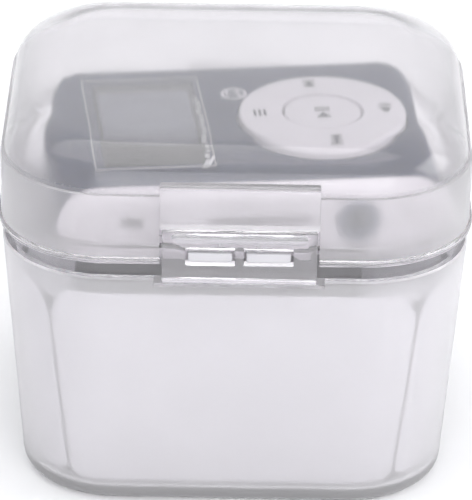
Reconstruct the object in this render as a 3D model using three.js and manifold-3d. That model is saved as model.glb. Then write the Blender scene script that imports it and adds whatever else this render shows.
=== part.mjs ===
// A clip-on digital audio player, lying on a card insert in a small hinged plastic display case.
// Units are millimetres. +Z is up, -Y is the latch side and +X is to the right of a person facing it.
// The origin is the centre of the case's flat underside.
import * as THREE from "three";
import { mergeVertices } from "three/addons/utils/BufferGeometryUtils.js";
import Module from "manifold-3d";

const wasm = await Module();
wasm.setup();

// ---------- Driving dimensions ----------

const GAP = 0.3; // clearance between separate pieces that fit together
const SEAT = 0.1; // clearance at flat seats inside the player
const EMBED = 0.2; // how far a joined piece runs into the one it grows from
const THROUGH = 30; // how far a cutting tool runs past what it cuts

const CASE = {
  bottomHalfX: 27.4,
  bottomHalfY: 24.4,
  bottomRadius: 12.5,
  rimHalfX: 30,
  rimHalfY: 27,
  rimRadius: 14,
  bottomFillet: 2,
  innerFillet: 1.5,
  floor: 1.4,
  wall: 1.3,
  ledgeZ: 34,
  collarInset: 1.15,
  collarWall: 0.7,
  collarTopZ: 38.2,
  narrowingZ: [31.6, 33], // where the inside narrows from the tub to the collar
};

const LID = {
  rimZ: 36.2,
  bead: 0.35,
  beadHeight: 0.9,
  beadChamfer: 0.15,
  skirtWall: 0.85,
  wall: 1.2,
  shoulderZ: 38.5,
  creaseZ: 45.6,
  creaseStep: 0.45,
  domeInset: 6.5,
  topZ: 50.7,
  topWall: 1,
  innerCreaseDrop: 0.8,
};

const LATCH = {
  centreX: 0.6,
  width: 20,
  bossTopZ: 47.2,
  openingTopZ: 41.6,
  frontY: -28,
  backY: -26.6,
  flapBottomZ: 34.2,
  ridgeZ: 40.5,
  ridgeRadius: 0.65,
  ridgeWidth: 17,
  windowPitch: 7.3,
  windowWidth: 6.2,
  windowZ: [36.6, 38.7],
  notchZ: 32.9,
  notchWidth: 21.5,
  lipHeight: 0.7,
  lipStand: 0.4,
  ribPitch: 4.8,
  ribWidth: 0.5,
  ribStand: 0.3,
};

const HINGE = {
  y: 29,
  z: 35.3,
  radius: 1.5,
  knuckleHalf: 7,
  earWidth: 3.6,
  stubRadius: 0.7,
  stubLength: 3,
  stubClearance: 0.15,
  earDepth: 3.2,
};

const CARD = {
  thickness: 0.5,
  clearance: 0.5,
  topZ: 31,
  trayTopZ: 29.4,
  foldSteps: 2,
  bottomBend: 1.5,
  bottomTaper: 1.4, // the bottom edge clears the tub's inner rounding
};
const TRAY_WINDOW = { x: [-20.4, 16.4], y: [-21.5, 6.3] };
const TRAY_TAB = { width: 8, centreY: -6, topZ: 33.6 };

const PLAYER = {
  length: 50,
  depth: 35,
  thickness: 11,
  wall: 1,
  shellHalfDepth: 16.2,
  yaw: THREE.MathUtils.degToRad(7),
  centreX: 0.6,
  centreY: -3.8,
  bottomZ: 33.9,
};
const MIDDLE_Z = PLAYER.thickness / 2; // mid-height of the player's body, above its underside
const FACE_Z = PLAYER.thickness;

const CAP = {
  plugClearance: 0.15,
  plugLength: 1.2,
  lip: 0.35,
  lipInset: [0.1, 0.5],
  bevelDepth: 0.25,
  bevelInset: [1.3, 1.9],
  faceInset: 2.6,
  faceRecess: 0.3,
};

const BOARD = { halfLength: 22, frontY: -14.6, rearY: 13.4, bottomZ: 4.1, topZ: 4.9 };
const ON_BOARD_Z = BOARD.topZ + SEAT;

const WHEEL = {
  x: 10.5,
  radius: 10.9,
  innerRadius: 5.3,
  buttonRadius: 4.95,
  height: 0.8,
  edge: 0.4,
  bottomZ: FACE_Z - 1.4,
  buttonBottomZ: FACE_Z - 2.9,
  buttonSink: 0.15,
  buttonEdge: 0.25,
  keyCircle: 7.5,
  flangeRadius: 11.7,
  flangeInner: 6,
  flangeFlat: 10.2,
  flangeZ: [FACE_Z - 2.8, FACE_Z - 2],
};

const DISPLAY = { x: [-18.6, -5.2], y: [-11, 12.2] };
const FILM = { x: [-19.8, -4.6], y: [-12, 13.2], thickness: 0.2, tabX: [-7.2, -3.6], tabY: [-12.9, -10.8] };
const LCD = { x: [-19, -4.8], y: [-11.4, 13.4], z: [8.5, 9.7] };
const LCD_FRAME = { x: [-19.4, -4.9], y: [-11.7, 13.4], z: [6.9, 8.4], openX: [-17.4, -6.2], openY: [-10, 11.4] };
const FLEX = { x: [-14, -7], thickness: 0.2 };

const JACK = { x: 13, z: 4.8, noseRadius: 2.55, boreRadius: 1.75 };
const JACK_BODY = { x: [10.2, 15.8], y: [-14.3, -4.6], z: [2.4, 7.2], boreEndY: -5.4, noseSink: 0.4 };
const CARD_SLOT = { x: 0.4, z: 5.6, width: 12.4, height: 1.3 };
const CARD_SOCKET = {
  x: [-5.6, 6.3],
  rearY: -3.6,
  topZ: 6.2,
  openX: [-5, 5.7],
  openRearY: -4.6,
  openZ: [5.2, 5.9],
};
const SWITCH = {
  x: -15.4,
  knobX: -13.1,
  z: 5.6,
  recessWidth: 7.7,
  recessHeight: 3.6,
  recessDepth: 0.8,
  slotX: [-17.3, -11.7],
  slotHeight: 1.3,
  bodyX: [-17.9, -10.9],
  bodyRearY: -12.3,
  bodyTopZ: 6.8,
  openX: [-17, -12],
  openZ: [5.2, 6.2],
  contactY: -13.4,
};
const KNOB = {
  width: 2.4,
  height: 2.6,
  stand: 0.3,
  sink: 0.65,
  ridgePitch: 0.6,
  ridgeWidth: 0.3,
  stemWidth: 1.2,
};
const USB = {
  halfWidth: 3.9,
  z: [2.9, 6.7],
  frontY: 8,
  mouthHalf: 3.4,
  mouthZ: [3.3, 6.3],
  tongueHalf: 2.4,
  tongueZ: [4.5, 5.1],
};
const LED = { x: 19.4, z: 5.5, size: 1.2, holeRadius: 0.5, topZ: 5.9 };
const CHIP_HEIGHT = 1;
const CONTROLLER = { x: [-14, -7], y: [-6, 1] };
const MEMORY = { x: [-15, -6], y: [3, 9] };
const BATTERY = { centreX: -4.5, centreY: -2.1, halfX: 14, halfY: 9, radius: 1.5, z: [1.3, 3.4] };
const TAPE = { x: [-14, 4], y: [-9, 5], z: [3.5, 3.8] };
const KEY_DOME = { radius: 1.5, shoulder: 1.6, height: 2 };

const CLIP = {
  pinX: 15,
  pinZ: -2.3,
  pinRadius: 0.45,
  lugRadius: 1.2,
  halfWidth: 7.2,
  jawX: -19,
  tailX: 20,
  plateZ: [-4.2, -3.4],
  jawThickness: 1.4,
  jawTopZ: -0.4,
  bracketBottomZ: -0.9,
  earInnerY: 7.5,
  earOuterY: 8.5,
  earWidth: 2.8,
  earDrop: 1.3,
  lugY: 6.2,
  lugWidth: 1.2,
  bracketX: [12.5, 18.8],
  pinHalfLength: 8.7,
};
const SPRING = { radius: 1, innerRadius: 0.6, halfLength: 2.5, wire: 0.4, legHeight: 0.3, legEndX: 9 };
const CLIP_SCREW = { x: 17.4, y: 3, headRadius: 1.1, headHeight: 0.5, shankRadius: 0.6, holeRadius: 0.8 };
const NUT_PLATE = { x: [14, 19], y: [-6, 6], z: [PLAYER.wall + SEAT, PLAYER.wall + SEAT + 0.8] };

// ---------- Solids ----------

// A closed geometry as a manifold solid, with the vertices that faces share merged.
function toSolid(geometry) {
  const loose = geometry.index ? geometry.toNonIndexed() : geometry;
  const bare = new THREE.BufferGeometry();
  bare.setAttribute("position", loose.getAttribute("position"));
  const merged = mergeVertices(bare, 1e-4);
  const vertProperties = new Float32Array(merged.getAttribute("position").array);
  const triVerts = new Uint32Array(merged.index.array);
  return new wasm.Manifold(new wasm.Mesh({ numProp: 3, vertProperties, triVerts }));
}

function toGeometry(solid) {
  const mesh = solid.getMesh();
  const geometry = new THREE.BufferGeometry();
  geometry.setAttribute("position", new THREE.BufferAttribute(new Float32Array(mesh.vertProperties), 3));
  geometry.setIndex(new THREE.BufferAttribute(new Uint32Array(mesh.triVerts), 1));
  geometry.computeVertexNormals();
  return geometry;
}

const union = (first, ...rest) => rest.reduce((whole, piece) => whole.add(piece), first);
const cut = (first, ...tools) => tools.reduce((whole, tool) => whole.subtract(tool), first);

function block([x0, x1], [y0, y1], [z0, z1]) {
  const box = new THREE.BoxGeometry(x1 - x0, y1 - y0, z1 - z0);
  return toSolid(box.translate((x0 + x1) / 2, (y0 + y1) / 2, (z0 + z1) / 2));
}

const around = (centre, width) => [centre - width / 2, centre + width / 2];

// A round bar along an axis. The two numbers in `at` are its other two coordinates, in X, Y, Z order.
function rod(axis, radius, [from, to], at, sides = 20) {
  const bar = new THREE.CylinderGeometry(radius, radius, to - from, sides);
  const middle = (from + to) / 2;
  if (axis === "x") bar.rotateZ(Math.PI / 2).translate(middle, at[0], at[1]);
  if (axis === "y") bar.translate(at[0], middle, at[1]);
  if (axis === "z") bar.rotateX(Math.PI / 2).translate(at[0], at[1], middle);
  return toSolid(bar);
}

// A turned solid about a vertical axis. The profile runs from the axis, round the outside, to the axis.
function turned(profile, x, y, sides = 40) {
  const points = profile.map(([radius, z]) => new THREE.Vector2(radius, z));
  return toSolid(new THREE.LatheGeometry(points, sides).rotateX(Math.PI / 2).translate(x, y, 0));
}

// The outline of a rectangle with round corners, anticlockwise. A radius of halfY makes a stadium.
function roundedRect({ halfX, halfY, radius }, steps) {
  const points = [];
  for (let corner = 0; corner < 4; corner++) {
    const centreX = (corner === 0 || corner === 3 ? 1 : -1) * (halfX - radius);
    const centreY = (corner < 2 ? 1 : -1) * (halfY - radius);
    for (let step = 0; step <= steps; step++) {
      const angle = ((corner + step / steps) * Math.PI) / 2;
      const x = centreX + radius * Math.cos(angle);
      points.push(new THREE.Vector2(x, centreY + radius * Math.sin(angle)));
    }
  }
  return points.filter((point, i) => point.distanceTo(points.at(i - 1)) > 1e-6);
}

// A solid through a stack of rounded rectangles, each at its own level, with a flat face at each end.
function loftGeometry(sections, steps = 7) {
  const rings = sections.map((section) => roundedRect(section, steps));
  const count = rings[0].length;
  const vertices = rings.flatMap((ring, k) => ring.flatMap((point) => [point.x, point.y, sections[k].level]));
  const bottomCentre = vertices.length / 3;
  const topCentre = bottomCentre + 1;
  vertices.push(0, 0, sections[0].level, 0, 0, sections.at(-1).level);
  const triangles = [];
  for (let i = 0; i < count; i++) {
    const next = (i + 1) % count;
    for (let k = 0; k < rings.length - 1; k++) {
      const low = k * count;
      const high = low + count;
      triangles.push(low + i, low + next, high + next, low + i, high + next, high + i);
    }
    const top = (rings.length - 1) * count;
    triangles.push(bottomCentre, next, i, topCentre, top + i, top + next);
  }
  const geometry = new THREE.BufferGeometry();
  geometry.setAttribute("position", new THREE.Float32BufferAttribute(vertices, 3));
  geometry.setIndex(triangles);
  return geometry;
}

const loft = (sections, steps) => toSolid(loftGeometry(sections, steps));

// ---------- Display case ----------

// The tub's tapering outline at one height, set in from the outer face.
function tubSection(level, inset = 0) {
  const rise = level / LID.rimZ;
  return {
    level,
    halfX: THREE.MathUtils.lerp(CASE.bottomHalfX, CASE.rimHalfX, rise) - inset,
    halfY: THREE.MathUtils.lerp(CASE.bottomHalfY, CASE.rimHalfY, rise) - inset,
    radius: THREE.MathUtils.lerp(CASE.bottomRadius, CASE.rimRadius, rise) - inset,
  };
}

// The lid's outline, which doesn't taper.
const rimSection = (level, inset = 0) => ({
  level,
  halfX: CASE.rimHalfX - inset,
  halfY: CASE.rimHalfY - inset,
  radius: CASE.rimRadius - inset,
});

// Sections of a quarter-round edge that starts at `level` and rises by `height`, gaining `width`.
function edgeRounding(section, level, width, height, inset, steps = 4) {
  return Array.from({ length: steps }, (_, i) => {
    const angle = ((i / steps) * Math.PI) / 2;
    return section(level + height * (1 - Math.cos(angle)), inset + width * (1 - Math.sin(angle)));
  });
}

function caseBase() {
  const collarInnerInset = CASE.collarInset + CASE.collarWall;
  const tub = loft([
    ...edgeRounding(tubSection, 0, CASE.bottomFillet, CASE.bottomFillet, 0),
    tubSection(CASE.bottomFillet),
    tubSection(CASE.ledgeZ),
  ]);
  const collar = loft([
    rimSection(CASE.ledgeZ - 1, CASE.collarInset),
    rimSection(CASE.collarTopZ, CASE.collarInset),
  ]);
  const hollow = loft([
    ...edgeRounding(tubSection, CASE.floor, CASE.innerFillet, CASE.innerFillet, CASE.wall, 3),
    tubSection(CASE.floor + CASE.innerFillet, CASE.wall),
    tubSection(CASE.narrowingZ[0], CASE.wall),
    rimSection(CASE.narrowingZ[1], collarInnerInset),
    rimSection(CASE.collarTopZ + 1, collarInnerInset),
  ]);
  const collarFrontY = -(CASE.rimHalfY - CASE.collarInset);
  const fingerNotch = block(
    around(LATCH.centreX, LATCH.notchWidth),
    [-THROUGH, collarFrontY],
    [LATCH.notchZ, CASE.ledgeZ + 1],
  );
  const teeth = [-0.5, 0.5].map((side) =>
    block(
      around(LATCH.centreX + side * LATCH.windowPitch, LATCH.windowWidth - 2 * GAP),
      [LATCH.backY + GAP, collarFrontY + EMBED],
      [LATCH.windowZ[0] + GAP, CASE.collarTopZ - EMBED],
    ),
  );
  const ears = [-1, 1].map((side) => {
    const inner = HINGE.knuckleHalf + GAP;
    const along = side < 0 ? [-inner - HINGE.earWidth, -inner] : [inner, inner + HINGE.earWidth];
    return union(
      rod("x", HINGE.radius, along, [HINGE.y, HINGE.z]),
      block(along, [CASE.rimHalfY - 1.2, HINGE.y], [HINGE.z - HINGE.earDepth, HINGE.z - 0.1]),
      block(along, [HINGE.y - HINGE.radius, HINGE.y + 1.1], [HINGE.z - HINGE.earDepth + 1, HINGE.z]),
    );
  });
  const earHole = rod(
    "x",
    HINGE.stubRadius + HINGE.stubClearance,
    [-THROUGH, THROUGH],
    [HINGE.y, HINGE.z],
  );
  const collarRing = cut(union(tub, collar), hollow, fingerNotch);
  return union(collarRing, ...teeth, ...ears.map((ear) => cut(ear, earHole)));
}

function domeSections(section, startZ, topZ, inset, spread, steps = 6) {
  return Array.from({ length: steps + 1 }, (_, i) => {
    const angle = ((i / steps) * Math.PI) / 2;
    return section(startZ + (topZ - startZ) * Math.sin(angle), inset + spread * (1 - Math.cos(angle)));
  });
}

function caseLid() {
  const beadTopZ = LID.rimZ + LID.beadHeight;
  const outside = loft([
    rimSection(LID.rimZ),
    rimSection(LID.rimZ + LID.beadChamfer, -LID.bead),
    rimSection(beadTopZ - LID.beadChamfer, -LID.bead),
    rimSection(beadTopZ),
    rimSection(LID.creaseZ - 0.1),
    ...domeSections(rimSection, LID.creaseZ, LID.topZ, LID.creaseStep, LID.domeInset),
  ]);
  const inside = loft([
    rimSection(LID.rimZ - 1, LID.skirtWall),
    rimSection(LID.shoulderZ, LID.skirtWall),
    rimSection(LID.shoulderZ, LID.wall),
    ...domeSections(
      rimSection,
      LID.creaseZ - LID.innerCreaseDrop,
      LID.topZ - LID.topWall,
      LID.wall,
      LID.domeInset,
    ),
  ]);
  const boss = block(
    around(LATCH.centreX, LATCH.width),
    [LATCH.frontY, -CASE.rimHalfY + 1],
    [LATCH.openingTopZ - 1, LATCH.bossTopZ],
  );
  const latchOpening = block(
    around(LATCH.centreX, LATCH.width),
    [-THROUGH, -CASE.rimHalfY + 4],
    [LID.rimZ - 1, LATCH.openingTopZ],
  );
  const knuckleAlong = [-HINGE.knuckleHalf, HINGE.knuckleHalf];
  const knuckle = union(
    rod("x", HINGE.radius, knuckleAlong, [HINGE.y, HINGE.z]),
    block(knuckleAlong, [CASE.rimHalfY - 0.6, HINGE.y], [HINGE.z + 0.9, HINGE.z + 3]),
    block(knuckleAlong, [HINGE.y - HINGE.radius, HINGE.y + 0.6], [HINGE.z, HINGE.z + 1.8]),
    rod("x", HINGE.stubRadius, around(0, 2 * (HINGE.knuckleHalf + HINGE.stubLength)), [HINGE.y, HINGE.z], 12),
  );
  const shell = union(cut(outside, inside), cut(boss, inside));
  return union(cut(shell, latchOpening), knuckle);
}

// The sprung tongue that hangs from the lid's front panel, with its thumb ridge and two catch windows.
function latchFlap() {
  const topZ = LATCH.openingTopZ - GAP;
  const plate = block(
    around(LATCH.centreX, LATCH.width - 2 * GAP),
    [LATCH.frontY, LATCH.backY],
    [LATCH.flapBottomZ, topZ],
  );
  const windows = [-0.5, 0.5].map((side) =>
    block(
      around(LATCH.centreX + side * LATCH.windowPitch, LATCH.windowWidth),
      [-THROUGH, THROUGH],
      LATCH.windowZ,
    ),
  );
  const ridge = rod(
    "x",
    LATCH.ridgeRadius,
    around(LATCH.centreX, LATCH.ridgeWidth),
    [LATCH.frontY - LATCH.ribStand, LATCH.ridgeZ],
    12,
  );
  const lip = block(
    around(LATCH.centreX, LATCH.width - 2 * GAP),
    [LATCH.frontY - LATCH.lipStand, LATCH.frontY + EMBED],
    [LATCH.flapBottomZ, LATCH.flapBottomZ + LATCH.lipHeight],
  );
  const ribs = [-0.5, 0.5].map((side) =>
    block(
      around(LATCH.centreX + side * LATCH.ribPitch, LATCH.ribWidth),
      [LATCH.frontY - LATCH.ribStand, LATCH.frontY + EMBED],
      [LATCH.windowZ[1], LATCH.ridgeZ],
    ),
  );
  return union(cut(plate, ...windows), ridge, lip, ...ribs);
}

// ---------- Card insert ----------

const cardSection = (level, inset = 0) => tubSection(level, CASE.wall + CARD.clearance + inset);

function cartonBox() {
  const bottomZ = CASE.floor + GAP;
  const bendTopZ = bottomZ + CARD.bottomBend;
  const outside = loft(
    [cardSection(bottomZ, CARD.bottomTaper), cardSection(bendTopZ), cardSection(CARD.topZ)],
    CARD.foldSteps,
  );
  const inside = loft(
    [
      cardSection(bottomZ + CARD.thickness, CARD.bottomTaper + CARD.thickness),
      cardSection(bendTopZ + CARD.thickness, CARD.thickness),
      cardSection(CARD.topZ + 1, CARD.thickness),
    ],
    CARD.foldSteps,
  );
  return cut(outside, inside);
}

// The shelf across the carton. The clip swings down through its window, and the card cut from the
// window is folded up under the player's left end.
function cartonTray() {
  const bottomZ = CARD.trayTopZ - CARD.thickness;
  const edge = CARD.thickness + GAP + SEAT;
  const shelf = loft([cardSection(bottomZ, edge), cardSection(CARD.trayTopZ, edge)], CARD.foldSteps);
  const window = block(TRAY_WINDOW.x, TRAY_WINDOW.y, [bottomZ - 1, CARD.trayTopZ + 1]);
  const tabX = TRAY_WINDOW.x[0] - GAP;
  const tab = block(
    [tabX - CARD.thickness, tabX],
    around(TRAY_TAB.centreY, TRAY_TAB.width),
    [bottomZ, TRAY_TAB.topZ],
  );
  return union(cut(shelf, window), tab);
}

// ---------- Player casing ----------

// The body's end profile, a stadium, at a distance along the player's depth and set in from its face.
const bodySection = (level, inset = 0) => ({
  level,
  halfX: PLAYER.length / 2 - inset,
  halfY: MIDDLE_Z - inset,
  radius: MIDDLE_Z - inset,
});

// A loft along -Y through body sections, lifted to the body's mid-height.
function bodyLoft(sections) {
  return toSolid(loftGeometry(sections, 5).rotateX(Math.PI / 2).translate(0, 0, MIDDLE_Z));
}

const clipScrewPlaces = [-1, 1].map((side) => [CLIP_SCREW.x, side * CLIP_SCREW.y]);
const clipScrewHoles = (zRange) =>
  clipScrewPlaces.map((place) => rod("z", CLIP_SCREW.holeRadius, zRange, place, 12));

function playerShell() {
  const half = PLAYER.shellHalfDepth;
  const sleeve = cut(
    bodyLoft([bodySection(-half), bodySection(half)]),
    bodyLoft([bodySection(-half - 1, PLAYER.wall), bodySection(half + 1, PLAYER.wall)]),
  );
  const wheelHole = rod("z", WHEEL.radius + GAP, [MIDDLE_Z, THROUGH], [WHEEL.x, 0], 40);
  const displayHole = block(DISPLAY.x, DISPLAY.y, [MIDDLE_Z, THROUGH]);
  return cut(sleeve, wheelHole, displayHole, ...clipScrewHoles([-1, 2]));
}

// A white end cap: a plug that fits in the sleeve, a bevelled flange and a shallow recessed face.
// It faces the latch side. The loft's level is the distance towards that side.
function endCap() {
  const half = PLAYER.shellHalfDepth;
  const faceLevel = PLAYER.depth / 2;
  const plugInset = PLAYER.wall + CAP.plugClearance;
  const flangeLevel = half + CAP.plugClearance;
  const cap = bodyLoft([
    bodySection(half - CAP.plugLength, plugInset),
    bodySection(flangeLevel, plugInset),
    bodySection(flangeLevel, CAP.lipInset[0]),
    bodySection(flangeLevel + CAP.lip, CAP.lipInset[1]),
    bodySection(faceLevel - CAP.bevelDepth, CAP.bevelInset[0]),
    bodySection(faceLevel, CAP.bevelInset[1]),
  ]);
  const recess = bodyLoft([
    bodySection(faceLevel - CAP.faceRecess, CAP.faceInset),
    bodySection(faceLevel + 1, CAP.faceInset),
  ]);
  return cut(cap, recess);
}

function frontCap() {
  const faceY = -PLAYER.depth / 2;
  const throughCap = [-THROUGH, -10];
  const jackHole = rod("y", JACK.noseRadius + GAP, throughCap, [JACK.x, JACK.z], 28);
  const cardHole = block(
    around(CARD_SLOT.x, CARD_SLOT.width),
    throughCap,
    around(CARD_SLOT.z, CARD_SLOT.height),
  );
  const switchRecess = block(
    around(SWITCH.x, SWITCH.recessWidth),
    [-THROUGH, faceY + SWITCH.recessDepth],
    around(SWITCH.z, SWITCH.recessHeight),
  );
  const switchSlot = block(SWITCH.slotX, throughCap, around(SWITCH.z, SWITCH.slotHeight));
  const ledHole = rod("y", LED.holeRadius, throughCap, [LED.x, LED.z], 12);
  return cut(endCap(), jackHole, cardHole, switchRecess, switchSlot, ledHole);
}

function rearCap() {
  const usbHole = block(
    [-USB.halfWidth - GAP, USB.halfWidth + GAP],
    [-THROUGH, -10],
    [USB.z[0] - GAP, USB.z[1] + GAP],
  );
  return cut(endCap(), usbHole);
}

// ---------- Display ----------

function displayWindow() {
  return block(
    [DISPLAY.x[0] + GAP, DISPLAY.x[1] - GAP],
    [DISPLAY.y[0] + GAP, DISPLAY.y[1] - GAP],
    [FACE_Z - PLAYER.wall + SEAT, FACE_Z],
  );
}

function screenFilm() {
  return union(block(FILM.x, FILM.y, filmZ()), block(FILM.tabX, FILM.tabY, filmZ()));
}

const filmZ = () => [FACE_Z + SEAT, FACE_Z + SEAT + FILM.thickness];

const lcdPanel = () => block(LCD.x, LCD.y, LCD.z);

function lcdFrame() {
  const outside = block(LCD_FRAME.x, LCD_FRAME.y, LCD_FRAME.z);
  return cut(outside, block(LCD_FRAME.openX, LCD_FRAME.openY, [0, THROUGH]));
}

// The flat lead from the panel, folded down past the board's rear edge.
function displayFlex() {
  const frontY = BOARD.rearY + GAP;
  return block(FLEX.x, [frontY, frontY + FLEX.thickness], [ON_BOARD_Z, LCD.z[1]]);
}

// ---------- Board and what it carries ----------

function mainBoard() {
  const board = block(
    [-BOARD.halfLength, BOARD.halfLength],
    [BOARD.frontY, BOARD.rearY],
    [BOARD.bottomZ, BOARD.topZ],
  );
  const jackX = [JACK_BODY.x[0] - GAP, JACK_BODY.x[1] + GAP];
  const jackNotch = block(jackX, [-THROUGH, JACK_BODY.y[1] + GAP], [0, THROUGH]);
  const usbX = around(0, 2 * (USB.halfWidth + GAP));
  const usbNotch = block(usbX, [USB.frontY - GAP, THROUGH], [0, THROUGH]);
  return cut(board, jackNotch, usbNotch);
}

const chip = ({ x, y }) => block(x, y, [ON_BOARD_Z, ON_BOARD_Z + CHIP_HEIGHT]);
const led = () =>
  block(around(LED.x, LED.size), [BOARD.frontY, BOARD.frontY + LED.size], [ON_BOARD_Z, LED.topZ]);

function cardSocket() {
  const housing = block(
    CARD_SOCKET.x,
    [BOARD.frontY, CARD_SOCKET.rearY],
    [ON_BOARD_Z, CARD_SOCKET.topZ],
  );
  return cut(housing, block(CARD_SOCKET.openX, [-THROUGH, CARD_SOCKET.openRearY], CARD_SOCKET.openZ));
}

function jackSocket() {
  const housing = block(JACK_BODY.x, JACK_BODY.y, JACK_BODY.z);
  const noseY = [-PLAYER.depth / 2 + JACK_BODY.noseSink, JACK_BODY.y[0] + 1];
  const nose = rod("y", JACK.noseRadius, noseY, [JACK.x, JACK.z], 24);
  const bore = rod("y", JACK.boreRadius, [-THROUGH, JACK_BODY.boreEndY], [JACK.x, JACK.z], 20);
  return cut(union(housing, nose), bore);
}

function usbSocket() {
  const rearY = PLAYER.shellHalfDepth;
  const housing = block(around(0, 2 * USB.halfWidth), [USB.frontY, rearY], USB.z);
  const mouth = block(around(0, 2 * USB.mouthHalf), [USB.frontY + 0.8, THROUGH], USB.mouthZ);
  const tongue = block(around(0, 2 * USB.tongueHalf), [USB.frontY + 0.4, rearY - 2], USB.tongueZ);
  return union(cut(housing, mouth), tongue);
}

function switchBody() {
  const housing = block(SWITCH.bodyX, [BOARD.frontY, SWITCH.bodyRearY], [ON_BOARD_Z, SWITCH.bodyTopZ]);
  return cut(housing, block(SWITCH.openX, [-THROUGH, SWITCH.contactY], SWITCH.openZ));
}

function switchKnob() {
  const faceY = -PLAYER.depth / 2;
  const head = block(
    around(SWITCH.knobX, KNOB.width),
    [faceY - KNOB.stand, faceY + KNOB.sink],
    around(SWITCH.z, KNOB.height),
  );
  const ridges = [-1, 0, 1].map((place) =>
    block(
      around(SWITCH.knobX + place * KNOB.ridgePitch, KNOB.ridgeWidth),
      [faceY - KNOB.stand - EMBED, faceY],
      around(SWITCH.z, KNOB.height - 2 * EMBED),
    ),
  );
  const stem = block(
    around(SWITCH.knobX, KNOB.stemWidth),
    [faceY + KNOB.sink - EMBED, SWITCH.contactY - 0.4],
    around(SWITCH.z + 0.05, 0.5),
  );
  return union(head, stem, ...ridges);
}

const battery = () =>
  loft(BATTERY.z.map((level) => ({ ...BATTERY, level })), 3).translate([BATTERY.centreX, BATTERY.centreY, 0]);
const batteryTape = () => block(TAPE.x, TAPE.y, TAPE.z);

// ---------- Controls ----------

// One snap dome under each of the wheel's five press points.
function keyDome(x, y) {
  return turned(
    [
      [0, ON_BOARD_Z],
      [KEY_DOME.radius, ON_BOARD_Z],
      [KEY_DOME.radius * 0.8, ON_BOARD_Z + KEY_DOME.shoulder],
      [0, ON_BOARD_Z + KEY_DOME.height],
    ],
    WHEEL.x + x,
    y,
    16,
  );
}

function controlRing() {
  const topZ = FACE_Z + WHEEL.height;
  const disc = turned(
    [
      [0, WHEEL.bottomZ],
      [WHEEL.radius, WHEEL.bottomZ],
      [WHEEL.radius, topZ - WHEEL.edge],
      [WHEEL.radius - WHEEL.edge, topZ],
      [0, topZ],
    ],
    WHEEL.x,
    0,
    48,
  );
  return cut(disc, rod("z", WHEEL.innerRadius, [0, THROUGH], [WHEEL.x, 0], 36));
}

// The retaining flange under the face. It is flat where the casing curves down.
function ringFlange() {
  const disc = rod("z", WHEEL.flangeRadius, WHEEL.flangeZ, [WHEEL.x, 0], 40);
  const flat = block([WHEEL.x + WHEEL.flangeFlat, THROUGH], [-THROUGH, THROUGH], [0, THROUGH]);
  return cut(disc, rod("z", WHEEL.flangeInner, [0, THROUGH], [WHEEL.x, 0], 32), flat);
}

function playButton() {
  const topZ = FACE_Z + WHEEL.height - WHEEL.buttonSink;
  return turned(
    [
      [0, WHEEL.buttonBottomZ],
      [WHEEL.buttonRadius, WHEEL.buttonBottomZ],
      [WHEEL.buttonRadius, topZ - WHEEL.buttonEdge],
      [WHEEL.buttonRadius - WHEEL.buttonEdge, topZ],
      [0, topZ],
    ],
    WHEEL.x,
    0,
    36,
  );
}

// ---------- Clip ----------

function clipPlate() {
  const width = [-CLIP.halfWidth, CLIP.halfWidth];
  const plate = block([CLIP.jawX, CLIP.tailX], width, CLIP.plateZ);
  const jaw = block([CLIP.jawX, CLIP.jawX + CLIP.jawThickness], width, [CLIP.plateZ[0], CLIP.jawTopZ]);
  const lugs = [-1, 1].map((side) => {
    const along = around(side * CLIP.lugY, CLIP.lugWidth);
    return union(
      rod("y", CLIP.lugRadius, along, [CLIP.pinX, CLIP.pinZ], 20),
      block(around(CLIP.pinX, 2 * CLIP.lugRadius), along, [CLIP.plateZ[1] - 0.1, CLIP.pinZ]),
    );
  });
  const pinHole = rod("y", CLIP.pinRadius + SEAT, [-THROUGH, THROUGH], [CLIP.pinX, CLIP.pinZ], 16);
  return cut(union(plate, jaw, ...lugs), pinHole);
}

function clipBracket() {
  const base = block(CLIP.bracketX, [-CLIP.earOuterY, CLIP.earOuterY], [CLIP.bracketBottomZ, -SEAT]);
  const ears = [-0.5, 0.5].map((side) =>
    block(
      around(CLIP.pinX, CLIP.earWidth),
      around(side * (CLIP.earInnerY + CLIP.earOuterY), CLIP.earOuterY - CLIP.earInnerY),
      [CLIP.pinZ - CLIP.earDrop, -SEAT],
    ),
  );
  const pinHole = rod("y", CLIP.pinRadius + SEAT, [-THROUGH, THROUGH], [CLIP.pinX, CLIP.pinZ], 16);
  return cut(union(base, ...ears), pinHole, ...clipScrewHoles([-2, 1]));
}

const clipPin = () =>
  rod("y", CLIP.pinRadius, around(0, 2 * CLIP.pinHalfLength), [CLIP.pinX, CLIP.pinZ], 16);

// The torsion spring, as a sleeve the size of its coils with its two legs.
function clipSpring() {
  const at = [CLIP.pinX, CLIP.pinZ];
  const coils = rod("y", SPRING.radius, around(0, 2 * SPRING.halfLength), at, 16);
  const legX = [SPRING.legEndX, CLIP.pinX];
  const upperLegTopZ = CLIP.pinZ + SPRING.radius + 0.1;
  const lowerLegBottomZ = CLIP.pinZ - SPRING.radius;
  const upperLeg = block(
    legX,
    [-SPRING.halfLength, SPRING.wire - SPRING.halfLength],
    [upperLegTopZ - SPRING.legHeight, upperLegTopZ],
  );
  const lowerLeg = block(
    legX,
    [SPRING.halfLength - SPRING.wire, SPRING.halfLength],
    [lowerLegBottomZ, lowerLegBottomZ + SPRING.legHeight],
  );
  const bore = rod("y", SPRING.innerRadius, [-THROUGH, THROUGH], at, 16);
  return cut(union(coils, upperLeg, lowerLeg), bore);
}

function clipNutPlate() {
  return cut(block(NUT_PLATE.x, NUT_PLATE.y, NUT_PLATE.z), ...clipScrewHoles([0, 3]));
}

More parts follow.
